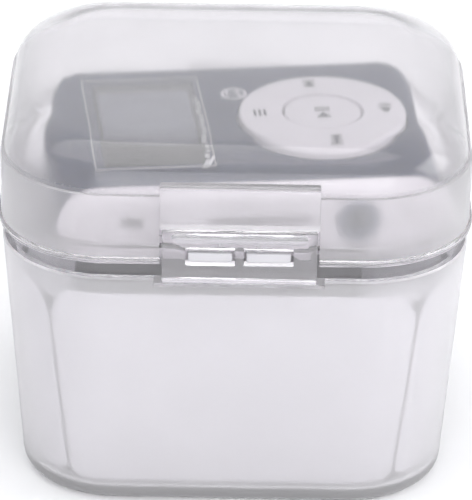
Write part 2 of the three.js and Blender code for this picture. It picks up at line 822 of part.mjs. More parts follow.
function clipScrew(place) {
  const headTopZ = CLIP.bracketBottomZ - 0.05;
  const head = rod("z", CLIP_SCREW.headRadius, [headTopZ - CLIP_SCREW.headHeight, headTopZ], place, 16);
  return union(head, rod("z", CLIP_SCREW.shankRadius, [headTopZ - 0.1, NUT_PLATE.z[1]], place, 12));
}

// ---------- Materials ----------

const material = (color, roughness, metalness = 0, opacity = 1) =>
  new THREE.MeshStandardMaterial({ color, roughness, metalness, opacity, transparent: opacity < 1 });

const MATERIALS = {
  frosted: material(0xe9e6ec, 0.4, 0, 0.4),
  card: material(0xf4f3f6, 0.8),
  shell: material(0x1a2030, 0.35, 0.8),
  whitePlastic: material(0xf1eff2, 0.35),
  clear: material(0xdfe6ee, 0.05, 0, 0.3),
  lcd: material(0x8d93a1, 0.3),
  board: material(0x1f5a3a, 0.5),
  chip: material(0x17181b, 0.5),
  copper: material(0xb9773a, 0.4, 0.6),
  foil: material(0xc4c6ca, 0.35, 0.7),
  foam: material(0x2a2a2c, 0.9),
  steel: material(0xb6bac2, 0.3, 0.9),
  darkPlastic: material(0x1d2330, 0.45),
  clipMetal: material(0x20283a, 0.4, 0.8),
};

function node(name, solid, look) {
  const mesh = new THREE.Mesh(toGeometry(solid), MATERIALS[look]);
  mesh.name = name;
  return mesh;
}

// ---------- Assembly ----------

const displayCase = new THREE.Group();
displayCase.add(
  node("case_base", caseBase(), "frosted"),
  node("case_lid", caseLid(), "frosted"),
  node("latch_flap", latchFlap(), "frosted"),
  node("carton_box", cartonBox(), "card"),
  node("carton_tray", cartonTray(), "card"),
);

const player = new THREE.Group();
player.position.set(PLAYER.centreX, PLAYER.centreY, PLAYER.bottomZ);
player.rotation.z = PLAYER.yaw;

const rearCapMesh = node("rear_cap", rearCap(), "whitePlastic");
rearCapMesh.rotation.z = Math.PI;

player.add(
  node("player_shell", playerShell(), "shell"),
  node("front_cap", frontCap(), "whitePlastic"),
  rearCapMesh,
  node("display_window", displayWindow(), "clear"),
  node("screen_film", screenFilm(), "clear"),
  node("lcd_panel", lcdPanel(), "lcd"),
  node("lcd_frame", lcdFrame(), "whitePlastic"),
  node("display_flex", displayFlex(), "copper"),
  node("main_board", mainBoard(), "board"),
  node("controller_chip", chip(CONTROLLER), "chip"),
  node("memory_chip", chip(MEMORY), "chip"),
  node("card_socket", cardSocket(), "steel"),
  node("jack_socket", jackSocket(), "darkPlastic"),
  node("usb_socket", usbSocket(), "steel"),
  node("switch_body", switchBody(), "steel"),
  node("switch_knob", switchKnob(), "whitePlastic"),
  node("status_led", led(), "clear"),
  node("battery", battery(), "foil"),
  node("battery_tape", batteryTape(), "foam"),
  node("control_ring", controlRing(), "whitePlastic"),
  node("ring_flange", ringFlange(), "whitePlastic"),
  node("play_button", playButton(), "whitePlastic"),
  node("clip_plate", clipPlate(), "clipMetal"),
  node("clip_bracket", clipBracket(), "steel"),
  node("clip_pin", clipPin(), "steel"),
  node("clip_spring", clipSpring(), "steel"),
  node("clip_nut_plate", clipNutPlate(), "steel"),
);

const KEY_DOMES = {
  key_dome_play: [0, 0],
  key_dome_menu: [-WHEEL.keyCircle, 0],
  key_dome_volume: [WHEEL.keyCircle, 0],
  key_dome_previous: [-2.3, -WHEEL.keyCircle],
  key_dome_next: [0, WHEEL.keyCircle],
};
for (const [name, [x, y]] of Object.entries(KEY_DOMES)) {
  player.add(node(name, keyDome(x, y), "steel"));
}

["clip_screw_front", "clip_screw_rear"].forEach((name, i) => {
  player.add(node(name, clipScrew(clipScrewPlaces[i]), "steel"));
});

const cased = new THREE.Group();
cased.add(displayCase, player);
export default cased;
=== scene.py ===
# Looks for the digital audio player in its frosted display case. Blender 4.5.
# Lengths in the dimension blocks are millimetres. Blender objects are in metres.
import math

import bmesh
import bpy
from mathutils import Matrix, Vector


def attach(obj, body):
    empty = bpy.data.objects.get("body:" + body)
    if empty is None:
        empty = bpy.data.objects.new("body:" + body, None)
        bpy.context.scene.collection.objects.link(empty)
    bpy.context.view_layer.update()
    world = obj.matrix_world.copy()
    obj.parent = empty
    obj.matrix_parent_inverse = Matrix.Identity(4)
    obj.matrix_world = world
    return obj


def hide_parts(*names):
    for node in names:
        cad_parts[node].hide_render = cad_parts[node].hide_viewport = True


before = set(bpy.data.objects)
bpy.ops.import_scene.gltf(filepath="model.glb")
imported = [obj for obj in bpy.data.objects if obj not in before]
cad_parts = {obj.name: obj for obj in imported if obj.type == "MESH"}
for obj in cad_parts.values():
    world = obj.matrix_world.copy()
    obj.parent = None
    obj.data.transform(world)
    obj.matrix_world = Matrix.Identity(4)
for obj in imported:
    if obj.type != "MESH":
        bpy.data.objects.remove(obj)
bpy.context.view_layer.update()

MM = 0.001

# ---------- Dimensions, as in the CAD model where it has the same feature ----------

THROUGH = 30  # the reach of a cutter that passes right through a wall
GAP = 0.3  # the play between neighbouring parts

BOTTOM_HALF = (27.4, 24.4)
BOTTOM_RADIUS = 12.5
RIM_HALF = (30, 27)
RIM_RADIUS = 14
BOTTOM_FILLET = 2
INNER_FILLET = 1.5
FLOOR = 1.4
WALL = 1.3
LEDGE_Z = 34
LEDGE_ROUNDING = 0.25
NARROWING_Z = (31.6, 33)  # where the inside narrows from the tub to the collar
COLLAR_INSET = 1.15
COLLAR_WALL = 0.7
COLLAR_TOP_Z = 38.2
COLLAR_CHAMFER = 0.3

RIM_Z = 36.2
BEAD = 0.35
BEAD_HEIGHT = 0.9
BEAD_EDGE = (0.1, 0.25)  # heights over which the bead swells to two thirds and to its full size
SKIRT_WALL = 0.85
LID_WALL = 1.2
SHOULDER_Z = 38.5
CREASE_Z = 45.6
CREASE_STEP = 0.45
INNER_CREASE_DROP = 0.8
DOME_INSET = 6.5
TOP_Z = 50.7
TOP_WALL = 1

LATCH_X = 0.6
LATCH_WIDTH = 20
LATCH_FRAME = 3  # how far the lid's flat front panel reaches back into the round shell
BOSS_TOP_Z = 47.2
OPENING_TOP_Z = 41.6
LATCH_FRONT_Y = -28
LATCH_BACK_Y = -26.6
FLAP_BOTTOM_Z = 34.2
LIP_HEIGHT = 0.7
LIP_STAND = 0.4
RIDGE_Z = 40.5
RIDGE_RADIUS = 0.65
RIDGE_WIDTH = 17
WINDOW_PITCH = 7.3
WINDOW_WIDTH = 6.2
WINDOW_Z = (36.6, 38.7)
NOTCH_Z = 32.9
NOTCH_WIDTH = 21.5
RIB_PITCH = 4.8
RIB_WIDTH = 0.5
RIB_STAND = 0.3

HINGE_Y = 29
HINGE_Z = 35.3
HINGE_RADIUS = 1.5
HINGE_BORE = 0.85
STUB_RADIUS = 0.7
STUB_REACH = 3
KNUCKLE_HALF = 7
EAR_WIDTH = 3.6

CARD = 0.5
CARD_CLEARANCE = 0.5
CARD_TOP_Z = 31
TRAY_TOP_Z = 29.4
TRAY_WINDOW_X = (-20.4, 16.4)
TRAY_WINDOW_Y = (-21.5, 6.3)
TAB_Y = -6
TAB_WIDTH = 8
TAB_TOP_Z = 33.6

PLAYER_LENGTH = 50
PLAYER_DEPTH = 35
PLAYER_THICKNESS = 11
PLAYER_WALL = 1
SHELL_HALF_DEPTH = 16.2
PLAYER_YAW = math.radians(7)
PLAYER_X = 0.6
PLAYER_Y = -3.8
PLAYER_BOTTOM_Z = 33.9
MIDDLE_Z = PLAYER_THICKNESS / 2
FACE_Z = PLAYER_THICKNESS
CAP_FRONT = PLAYER_DEPTH / 2

WHEEL_X = 10.5
WHEEL_RADIUS = 10.9
WHEEL_INNER = 5.3
BUTTON_RADIUS = 4.95
WHEEL_HEIGHT = 0.8
WHEEL_EDGE = 0.5
BUTTON_DROP = 0.15  # how far the button's rim lies below the top of the wheel
BUTTON_DISH = 0.05
KEY_CIRCLE = 8.2
ICON_SHIFT = 0.7

DISPLAY_X = (-18.6, -5.2)
DISPLAY_Y = (-11, 12.2)
ACTIVE_X = (-17.7, -6.2)
ACTIVE_Y = (-9.9, 10.9)
FILM_X = (-19.8, -4.6)
FILM_Y = (-12, 13.2)
FILM_BASE_Z = FACE_Z + 0.1
FILM_THICKNESS = 0.08
FILM_RIM = 0.16
ACTIVE_Z = (9.7, 9.76)
WINDOW_THICKNESS = 0.9
BADGE_AT = (-0.2, 7.9)
JACK_X = 13
JACK_Z = 4.8
JACK_NOSE = 2.55
JACK_BORE = 1.75
CARD_SLOT = (0.4, 5.6, 12.4, 1.3)  # centre X and Z, width and height, as in the other slots
SWITCH_X = -15.4
SWITCH_Z = 5.6
SWITCH_SIZE = (7.7, 3.6)
SWITCH_SLOT = (-14.5, 5.6, 5.6, 1.3)
SWITCH_RECESS = 0.8
LED_X = 19.4
LED_Z = 5.5
LED_RADIUS = 0.5
USB_HALF = 3.9
USB_Z = (2.9, 6.7)
CLIP_PIN_X = 15
CLIP_PIN_Z = -2.3
CLIP_SCREW_X = 17.4
CLIP_SCREW_Y = 3
CLIP_SCREW_RADIUS = 0.8

PLAYER_PLACE = (
    Matrix.Translation((PLAYER_X * MM, PLAYER_Y * MM, PLAYER_BOTTOM_Z * MM))
    @ Matrix.Rotation(PLAYER_YAW, 4, "Z")
)


# ---------- Mesh tools ----------

def to_object(name, vertices, faces, smooth_angle=35):
    """A mesh object from vertices in millimetres. Edges sharper than the angle stay crisp."""
    mesh = bpy.data.meshes.new(name)
    mesh.from_pydata([(x * MM, y * MM, z * MM) for x, y, z in vertices], [], faces)
    shade(mesh, smooth_angle)
    piece = bpy.data.objects.new(name, mesh)
    bpy.context.scene.collection.objects.link(piece)
    return piece


def shade(mesh, smooth_angle=35):
    mesh.polygons.foreach_set("use_smooth", [True] * len(mesh.polygons))
    mesh.set_sharp_from_angle(angle=math.radians(smooth_angle))
    mesh.update()


def apply_modifiers(piece):
    """Bakes the piece's modifiers into its mesh."""
    graph = bpy.context.evaluated_depsgraph_get()
    mesh = bpy.data.meshes.new_from_object(piece.evaluated_get(graph))
    piece.modifiers.clear()
    old = piece.data
    piece.data = mesh
    bpy.data.meshes.remove(old)
    return piece


def combine(operation, piece, tools):
    """Cuts the tools from the piece or joins them to it, and uses them up."""
    for tool in tools:
        modifier = piece.modifiers.new("combine", "BOOLEAN")
        modifier.operation = operation
        modifier.solver = "EXACT"
        modifier.object = tool
        bpy.context.view_layer.update()
        apply_modifiers(piece)
        bpy.data.objects.remove(tool)
    return piece


def cut(piece, *tools):
    return combine("DIFFERENCE", piece, tools)


def join(piece, *tools):
    return combine("UNION", piece, tools)


def round_edges(piece, width, segments=2, angle=40):
    """Rounds the sharp edges of a piece."""
    modifier = piece.modifiers.new("round_edges", "BEVEL")
    modifier.width = width * MM
    modifier.segments = segments
    modifier.limit_method = "ANGLE"
    modifier.angle_limit = math.radians(angle)
    modifier.harden_normals = False
    return piece


def finish_piece(piece, smooth_angle=35):
    apply_modifiers(piece)
    shade(piece.data, smooth_angle)
    return piece


def rounded_rect(half_x, half_y, radius, steps):
    """The outline of a rectangle with round corners, anticlockwise."""
    points = []
    for corner in range(4):
        centre_x = (half_x - radius) * (1 if corner in (0, 3) else -1)
        centre_y = (half_y - radius) * (1 if corner < 2 else -1)
        for step in range(steps + 1):
            angle = (corner + step / steps) * math.pi / 2
            point = (centre_x + radius * math.cos(angle), centre_y + radius * math.sin(angle))
            if not points or math.dist(point, points[-1]) > 1e-6:
                points.append(point)
    if math.dist(points[0], points[-1]) < 1e-6:
        points.pop()
    return points


def loft(name, sections, steps=14):
    """A closed solid through rounded rectangles, each given as level, half_x, half_y, radius."""
    rings = [rounded_rect(half_x, half_y, radius, steps) for _, half_x, half_y, radius in sections]
    count = len(rings[0])
    vertices = [(x, y, section[0]) for section, ring in zip(sections, rings) for x, y in ring]
    faces = [list(range(count))[::-1]]
    for k in range(len(rings) - 1):
        low = k * count
        high = low + count
        for i in range(count):
            after = (i + 1) % count
            faces.append([low + i, low + after, high + after, high + i])
    top = (len(rings) - 1) * count
    faces.append([top + i for i in range(count)])
    return to_object(name, vertices, faces)


def block(x, y, z, round_by=0.0, segments=3):
    """A box between two levels on each axis, with rounded edges if asked."""
    corners = [(i, j, k) for k in z for j in y for i in x]
    faces = [(0, 2, 3, 1), (4, 5, 7, 6), (0, 1, 5, 4), (2, 6, 7, 3), (0, 4, 6, 2), (1, 3, 7, 5)]
    piece = to_object("block", corners, faces)
    if round_by:
        round_edges(piece, round_by, segments)
        finish_piece(piece)
    return piece


def centred(middle, width):
    return (middle - width / 2, middle + width / 2)


def rod(axis, radius, along, at, sides=32):
    """A round bar along an axis. `at` holds its other two coordinates, in X, Y, Z order."""
    return turned([(0, along[0]), (radius, along[0]), (radius, along[1]), (0, along[1])], axis, at, sides)


def turned(profile, axis="z", at=(0, 0), sides=64, smooth_angle=35):
    """A turned solid. The profile is radius and level, from the axis round the outside to the axis."""
    place = {
        "x": lambda a, b, level: (level, at[0] + a, at[1] + b),
        "y": lambda a, b, level: (at[0] + b, level, at[1] + a),
        "z": lambda a, b, level: (at[0] + a, at[1] + b, level),
    }[axis]
    vertices = [place(0, 0, profile[0][1]), place(0, 0, profile[-1][1])]
    rings = profile[1:-1]
    for radius, level in rings:
        for i in range(sides):
            angle = 2 * math.pi * i / sides
            vertices.append(place(radius * math.cos(angle), radius * math.sin(angle), level))
    faces = []
    for i in range(sides):
        after = (i + 1) % sides
        faces.append((0, 2 + after, 2 + i))
        last = 2 + (len(rings) - 1) * sides
        faces.append((1, last + i, last + after))
        for k in range(len(rings) - 1):
            low = 2 + k * sides
            high = low + sides
            faces.append((low + i, low + after, high + after, high + i))
    return to_object("turned", vertices, faces, smooth_angle)


def prism(outline, z):
    """A plate with a straight-sided outline, between two heights."""
    count = len(outline)
    area = sum(a[0] * b[1] - b[0] * a[1] for a, b in zip(outline, outline[1:] + outline[:1]))
    if area < 0:
        outline = outline[::-1]
    vertices = [(x, y, level) for level in z for x, y in outline]
    faces = [list(range(count))[::-1], [count + i for i in range(count)]]
    for i in range(count):
        after = (i + 1) % count
        faces.append([i, after, count + after, count + i])
    return to_object("prism", vertices, faces)


def merge(pieces):
    """Puts separate meshes in one object, keeping each as its own closed body."""
    mesh = bmesh.new()
    for piece in pieces:
        mesh.from_mesh(piece.data)
    merged = bpy.data.meshes.new(pieces[0].name)
    mesh.to_mesh(merged)
    mesh.free()
    for piece in pieces[1:]:
        bpy.data.objects.remove(piece)
    pieces[0].data = merged
    shade(merged)
    return pieces[0]


def place_piece(piece, name, body, slot, materials, replaces=()):
    """Names a piece, gives it its materials and sets it on its body."""
    piece.name = name
    piece.data.name = name
    piece.data.materials.clear()
    for material in materials:
        piece.data.materials.append(material)
    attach(piece, body)
    if replaces:
        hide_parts(*replaces)
    return piece


def place_in_player(piece, *settings, **replaced):
    piece.matrix_world = PLAYER_PLACE
    return place_piece(piece, *settings, **replaced)


# ---------- Material tools ----------

class Look:
    """A node material being built."""

    def __init__(self, name):
        self.material = bpy.data.materials.new(name)
        self.material.use_nodes = True
        self.nodes = self.material.node_tree.nodes
        self.links = self.material.node_tree.links
        self.nodes.clear()
        self.output = self.nodes.new("ShaderNodeOutputMaterial")
        self.coordinates = self.nodes.new("ShaderNodeTexCoord")

    def link(self, source, target):
        self.links.new(source, target)

    def principled(self, color, roughness, metallic=0.0):
        shader = self.nodes.new("ShaderNodeBsdfPrincipled")
        shader.inputs["Base Color"].default_value = (*color, 1)
        shader.inputs["Roughness"].default_value = roughness
        shader.inputs["Metallic"].default_value = metallic
        return shader

    def noise(self, size, detail=3.0, stretch=(1, 1, 1)):
        """Noise whose features are about `size` millimetres, stretched along each axis."""
        mapping = self.nodes.new("ShaderNodeMapping")
        mapping.inputs["Scale"].default_value = [1 / (size * MM * s) for s in stretch]
        self.link(self.coordinates.outputs["Object"], mapping.inputs["Vector"])
        texture = self.nodes.new("ShaderNodeTexNoise")
        texture.inputs["Scale"].default_value = 1.0
        texture.inputs["Detail"].default_value = detail
        self.link(mapping.outputs["Vector"], texture.inputs["Vector"])
        return texture.outputs["Fac"]

    def spread(self, source, low, high, start=0.25, end=0.75):
        """Maps a pattern or a height to a range of values."""
        ramp = self.nodes.new("ShaderNodeMapRange")
        ramp.inputs["From Min"].default_value = start
        ramp.inputs["From Max"].default_value = end
        ramp.inputs["To Min"].default_value = low
        ramp.inputs["To Max"].default_value = high
        self.link(source, ramp.inputs["Value"])
        return ramp.outputs["Result"]

    def two_tone(self, source, first, second, start=0.3, end=0.7):
        """Maps a 0 to 1 pattern to a blend of two colours."""
        ramp = self.nodes.new("ShaderNodeValToRGB")
        ramp.color_ramp.elements[0].position = start
        ramp.color_ramp.elements[0].color = (*first, 1)
        ramp.color_ramp.elements[1].position = end
        ramp.color_ramp.elements[1].color = (*second, 1)
        self.link(source, ramp.inputs["Fac"])
        return ramp.outputs["Color"]

    def bump(self, source, strength, height):
        bump = self.nodes.new("ShaderNodeBump")
        bump.inputs["Strength"].default_value = strength
        bump.inputs["Distance"].default_value = height * MM
        self.link(source, bump.inputs["Height"])
        return bump.outputs["Normal"]

    def close(self, shader):
        """Sends the shader to the output and returns the material."""
        self.link(shader, self.output.inputs["Surface"])
        return self.material


def solid_look(name, color, second, roughness, metallic=0.0, grain=0.4, bump=0.05, stretch=(1, 1, 1)):
    """An opaque finish mottled between two colours, with an uneven gloss and a fine grain."""
    look = Look(name)
    shader = look.principled(color, roughness, metallic)
    mottle = look.noise(grain * 12, 4.0, stretch)
    fine = look.noise(grain, 3.0, stretch)
    look.link(look.two_tone(mottle, second, color), shader.inputs["Base Color"])
    look.link(look.spread(fine, roughness * 0.8, min(1.0, roughness * 1.25)), shader.inputs["Roughness"])
    look.link(look.bump(fine, 0.35, bump), shader.inputs["Normal"])
    return look.close(shader.outputs["BSDF"])


def plastic_look(name, color, transmission, roughness, grain=0.25, bump=0.01, ior=1.49, polished_above=None):
    """A see-through moulded plastic: part of the light passes, bent and blurred, and the rest is milky.

    `polished_above` is the height in millimetres over which it is smoother, and so blurs less.
    """
    cloud_size = 6.0
    cloud_shade = 0.97
    polish_depth = 4.0
    polish = 0.25
    look = Look(name)
    surface = look.principled(color, roughness)
    surface.inputs["IOR"].default_value = ior
    surface.inputs["Transmission Weight"].default_value = transmission
    fine = look.noise(grain, 2.0)
    cloudy = look.noise(cloud_size, 3.0)
    tint = tuple(cloud_shade * c for c in color)
    look.link(look.two_tone(cloudy, tint, color), surface.inputs["Base Color"])
    look.link(look.bump(fine, 0.25, bump), surface.inputs["Normal"])
    uneven = look.spread(fine, roughness * 0.95, roughness * 1.05)
    if polished_above:
        split = look.nodes.new("ShaderNodeSeparateXYZ")
        look.link(look.coordinates.outputs["Object"], split.inputs["Vector"])
        polish_start = (polished_above - polish_depth) * MM
        share = look.spread(split.outputs["Z"], 1.0, polish, polish_start, polished_above * MM)
        scaled = look.nodes.new("ShaderNodeMath")
        scaled.operation = "MULTIPLY"
        look.link(uneven, scaled.inputs[0])
        look.link(share, scaled.inputs[1])
        uneven = scaled.outputs["Value"]
    look.link(uneven, surface.inputs["Roughness"])
    return look.close(surface.outputs["BSDF"])


# ---------- Materials ----------

LID_FROST = (0.955, 0.94, 0.955)
TUB_FROST = (0.99, 0.975, 0.995)
BRUSHED = (30, 1, 1)  # long strokes along X
ROLLED = (8, 1, 1)

LOOKS = {
    "lid": plastic_look("frosted_lid", LID_FROST, 0.93, 0.32, bump=0.004, polished_above=49),
    "lid_wall": plastic_look("frosted_lid_wall", LID_FROST, 0.86, 0.32),
    "tub": plastic_look("frosted_tub", TUB_FROST, 0.76, 0.3),
    "clear": plastic_look("polished_plastic", TUB_FROST, 0.93, 0.06, grain=3, bump=0.002),
    "catch": plastic_look("moulded_catch", (0.93, 0.92, 0.95), 0.8, 0.14, grain=1, bump=0.002),
    # The catch teeth are moulded as part of the tub, but their front faces get a darker grey copy of the
    # frosted plastic: painted shade for the recesses behind the latch windows.
    "tooth": plastic_look("tooth_painted_shade", (0.64, 0.63, 0.66), 0.2, 0.34, grain=1, bump=0.002),
    "window": plastic_look("clear_window", (0.95, 0.96, 0.98), 1.0, 0.02, grain=3, bump=0.001, ior=1.25),
    "film": plastic_look("peel_film", (0.97, 0.97, 0.99), 0.99, 0.03, grain=2, bump=0.002, ior=1.12),
    "film_edge": plastic_look("film_edge", (0.9, 0.9, 0.93), 0.4, 0.2, grain=1, bump=0.004),
    "lens": plastic_look("led_lens", (0.7, 0.78, 0.9), 0.7, 0.1, grain=1, bump=0.002),
    "card": solid_look("white_card", (0.86, 0.85, 0.88), (0.845, 0.835, 0.865), 0.75, grain=0.2, bump=0.003),
    "shell": solid_look("brushed_navy", (0.016, 0.026, 0.085), (0.011, 0.019, 0.065), 0.5, 0.2,
                        grain=0.12, bump=0.004, stretch=BRUSHED),
    "white": solid_look("white_plastic", (0.86, 0.83, 0.87), (0.83, 0.80, 0.84), 0.32, grain=0.3, bump=0.004),
    "ink": solid_look("dark_ink", (0.012, 0.013, 0.022), (0.02, 0.021, 0.03), 0.5, grain=0.2, bump=0.002),
    "dark": solid_look("dark_plastic", (0.045, 0.07, 0.15), (0.035, 0.055, 0.125), 0.4,
                       grain=0.3, bump=0.005),
    "lcd": solid_look("lcd_glass", (0.27, 0.28, 0.37), (0.25, 0.26, 0.345), 0.3, grain=0.35, bump=0.001),
    "black_glass": solid_look("lcd_border", (0.012, 0.013, 0.02), (0.009, 0.01, 0.016), 0.2,
                              grain=0.5, bump=0.001),
    "board": solid_look("circuit_board", (0.03, 0.14, 0.06), (0.02, 0.10, 0.045), 0.35,
                        grain=0.35, bump=0.01),
    "chip": solid_look("chip_plastic", (0.018, 0.018, 0.02), (0.012, 0.012, 0.013), 0.55,
                       grain=0.15, bump=0.01),
    "copper": solid_look("copper_flex", (0.62, 0.29, 0.09), (0.5, 0.22, 0.07), 0.35, 0.5,
                         grain=0.3, bump=0.006, stretch=(1, 8, 1)),
    "steel": solid_look("plated_steel", (0.62, 0.63, 0.66), (0.55, 0.56, 0.6), 0.26, 0.95,
                        grain=0.15, bump=0.004, stretch=ROLLED),
    "spring": solid_look("spring_steel", (0.5, 0.51, 0.54), (0.42, 0.43, 0.46), 0.3, 0.95,
                         grain=0.12, bump=0.004),
    "foil": solid_look("battery_foil", (0.6, 0.61, 0.64), (0.5, 0.51, 0.54), 0.38, 0.8, grain=1.2, bump=0.03),
    "foam": solid_look("foam_tape", (0.03, 0.03, 0.032), (0.018, 0.018, 0.02), 0.95, grain=0.35, bump=0.08),
    "clip": solid_look("clip_metal", (0.02, 0.028, 0.06), (0.012, 0.018, 0.04), 0.38, 0.7,
                       grain=0.12, bump=0.004, stretch=BRUSHED),
}


# ---------- Display case ----------

def tub_section(level, inset=0.0):
    """The tub's tapering outline at one height."""
    rise = level / RIM_Z
    half_x = BOTTOM_HALF[0] + (RIM_HALF[0] - BOTTOM_HALF[0]) * rise
    half_y = BOTTOM_HALF[1] + (RIM_HALF[1] - BOTTOM_HALF[1]) * rise
    radius = BOTTOM_RADIUS + (RIM_RADIUS - BOTTOM_RADIUS) * rise
    return (level, half_x - inset, half_y - inset, radius - inset)


def rim_section(level, inset=0.0):
    """The lid's outline, which doesn't taper."""
    return (level, RIM_HALF[0] - inset, RIM_HALF[1] - inset, RIM_RADIUS - inset)


def rounding(section, level, size, inset=0.0, steps=8):
    """Sections of a quarter-round bottom edge."""
    made = []
    for i in range(steps):
        angle = i / steps * math.pi / 2
        made.append(section(level + size * (1 - math.cos(angle)), inset + size * (1 - math.sin(angle))))
    return made


def dome(start_z, top_z, inset, spread, steps=16):
    """Sections of the lid's domed shoulder and top."""
    made = []
    for i in range(steps + 1):
        angle = i / steps * math.pi / 2
        made.append(rim_section(start_z + (top_z - start_z) * math.sin(angle),
                                inset + spread * (1 - math.cos(angle))))
    return made


def paint_faces(piece, test, index):
    """Gives the faces whose centre (in millimetres) passes the test another of the piece's materials."""
    for polygon in piece.data.polygons:
        if test(polygon.center / MM):
            polygon.material_index = index


def catch_tooth(side):
    """A tooth on the collar that fills one of the latch's windows."""
    collar_front_y = -(RIM_HALF[1] - COLLAR_INSET)
    return block(centred(LATCH_X + side * WINDOW_PITCH, WINDOW_WIDTH - 2 * GAP),
                 (LATCH_FRONT_Y + GAP, collar_front_y + 0.2), (WINDOW_Z[0] + GAP, COLLAR_TOP_Z), 0.2)


def hinge_ear(side):
    """A bored lug at the back of the tub, beside the lid's knuckle."""
    start = side * (KNUCKLE_HALF + GAP)
    along = sorted((start, start + side * EAR_WIDTH))
    ear = rod("x", HINGE_RADIUS, along, (HINGE_Y, HINGE_Z))
    web = block(along, (RIM_HALF[1] - 1.2, HINGE_Y), (HINGE_Z - 3.2, HINGE_Z - 0.1))
    foot = block(along, (HINGE_Y - HINGE_RADIUS, HINGE_Y + 1.1), (HINGE_Z - 2.2, HINGE_Z))
    hole = rod("x", HINGE_BORE, (-THROUGH, THROUGH), (HINGE_Y, HINGE_Z), 24)
    join(ear, web, foot)
    return cut(ear, hole)


def make_tub():
    body = loft("tub", [*rounding(tub_section, 0, BOTTOM_FILLET), tub_section(BOTTOM_FILLET),
                        tub_section(LEDGE_Z - LEDGE_ROUNDING), tub_section(LEDGE_Z, LEDGE_ROUNDING)])
    collar = loft("collar", [rim_section(LEDGE_Z - 1, COLLAR_INSET),
                             rim_section(COLLAR_TOP_Z - COLLAR_CHAMFER, COLLAR_INSET),
                             rim_section(COLLAR_TOP_Z, COLLAR_INSET + COLLAR_CHAMFER)])
    inner = COLLAR_INSET + COLLAR_WALL
    hollow = loft("hollow", [*rounding(tub_section, FLOOR, INNER_FILLET, WALL, 5),
                             tub_section(FLOOR + INNER_FILLET, WALL), tub_section(NARROWING_Z[0], WALL),
                             rim_section(NARROWING_Z[1], inner), rim_section(COLLAR_TOP_Z + 1, inner)])
    collar_front_y = -(RIM_HALF[1] - COLLAR_INSET)
    notch = block(centred(LATCH_X, NOTCH_WIDTH), (-THROUGH, collar_front_y), (NOTCH_Z, LEDGE_Z + 1))
    join(body, collar)
    cut(body, hollow, notch)
    for side in (-0.5, 0.5):
        join(body, catch_tooth(side))
    for side in (-1, 1):
        join(body, hinge_ear(side))
    finish_piece(body, 30)
    place_piece(body, "frosted_tub", "case", "frosted_case", [LOOKS["tub"], LOOKS["clear"], LOOKS["tooth"]],
                ["case_base"])
    hinge_side_y = RIM_HALF[1] - 0.5
    paint_faces(body, lambda c: c.z > LEDGE_Z - 0.1 and c.y < hinge_side_y, 1)
    # The teeth's front faces take the darker grey copy of the frosted plastic, which is painted shade.
    paint_faces(body, lambda c: c.y < collar_front_y - 0.05 and c.z > WINDOW_Z[0]
                and abs(c.x) < LATCH_WIDTH / 2 - 1, 2)


def hinge_knuckle():
    """The barrel at the back of the lid, with a stub at each end that turns in the tub's ears."""
    barrel = rod("x", HINGE_RADIUS, (-KNUCKLE_HALF, KNUCKLE_HALF), (HINGE_Y, HINGE_Z))
    web = block((-KNUCKLE_HALF, KNUCKLE_HALF), (RIM_HALF[1] - 0.6, HINGE_Y), (HINGE_Z + 0.9, HINGE_Z + 3))
    foot = block((-KNUCKLE_HALF, KNUCKLE_HALF), (HINGE_Y - HINGE_RADIUS, HINGE_Y + 0.6),
                 (HINGE_Z, HINGE_Z + 1.8))
    stub = rod("x", STUB_RADIUS, (-KNUCKLE_HALF - STUB_REACH, KNUCKLE_HALF + STUB_REACH),
               (HINGE_Y, HINGE_Z), 24)
    return join(barrel, web, foot, stub)


def bead_sections():
    """The round bead along the lid's rim, from its lower edge to its upper edge."""
    part, full = BEAD_EDGE
    top = RIM_Z + BEAD_HEIGHT
    return [rim_section(RIM_Z), rim_section(RIM_Z + part, -BEAD * 0.7), rim_section(RIM_Z + full, -BEAD),
            rim_section(top - full, -BEAD), rim_section(top - part, -BEAD * 0.7), rim_section(top)]


def make_lid():
    outside = loft("lid", [
        *bead_sections(),
        rim_section(CREASE_Z - 0.3), rim_section(CREASE_Z - 0.1, 0.05), rim_section(CREASE_Z - 0.02, 0.2),
        *dome(CREASE_Z, TOP_Z, CREASE_STEP, DOME_INSET)])
    inside = loft("inside", [
        rim_section(RIM_Z - 1, SKIRT_WALL), rim_section(SHOULDER_Z, SKIRT_WALL),
        rim_section(SHOULDER_Z, LID_WALL),
        *dome(CREASE_Z - INNER_CREASE_DROP, TOP_Z - TOP_WALL, LID_WALL, DOME_INSET)])
    boss = block(centred(LATCH_X, LATCH_WIDTH), (LATCH_FRONT_Y, -RIM_HALF[1] + LATCH_FRAME),
                 (OPENING_TOP_Z - 1, BOSS_TOP_Z), 0.25)
    opening = block(centred(LATCH_X, LATCH_WIDTH), (-THROUGH, -RIM_HALF[1] + LATCH_FRAME + 1),
                    (RIM_Z - 1, OPENING_TOP_Z))
    join(outside, boss)
    cut(outside, inside, opening)
    join(outside, hinge_knuckle())
    finish_piece(outside, 30)
    place_piece(outside, "frosted_lid", "lid", "frosted_case",
                [LOOKS["lid"], LOOKS["clear"], LOOKS["lid_wall"]], ["case_lid"])
    bead_top = RIM_Z + BEAD_HEIGHT
    hinge_side_y = RIM_HALF[1] - 0.5
    paint_faces(outside, lambda c: c.z < CREASE_Z, 2)
    paint_faces(outside, lambda c: c.z < bead_top + 0.02 and c.y < hinge_side_y, 1)


def thumb_ridge():
    """The ridge that a thumb pulls: a bar with round ends."""
    steps = 6
    half = [(0, -RIDGE_WIDTH / 2)]
    for i in range(1, steps + 1):
        angle = i / steps * math.pi / 2
        along = -RIDGE_WIDTH / 2 + RIDGE_RADIUS * (1 - math.cos(angle))
        half.append((RIDGE_RADIUS * math.sin(angle), along))
    profile = half + [(radius, -along) for radius, along in half[::-1]]
    return turned([(radius, along + LATCH_X) for radius, along in profile], "x",
                  (LATCH_FRONT_Y - 0.3, RIDGE_Z), 28)


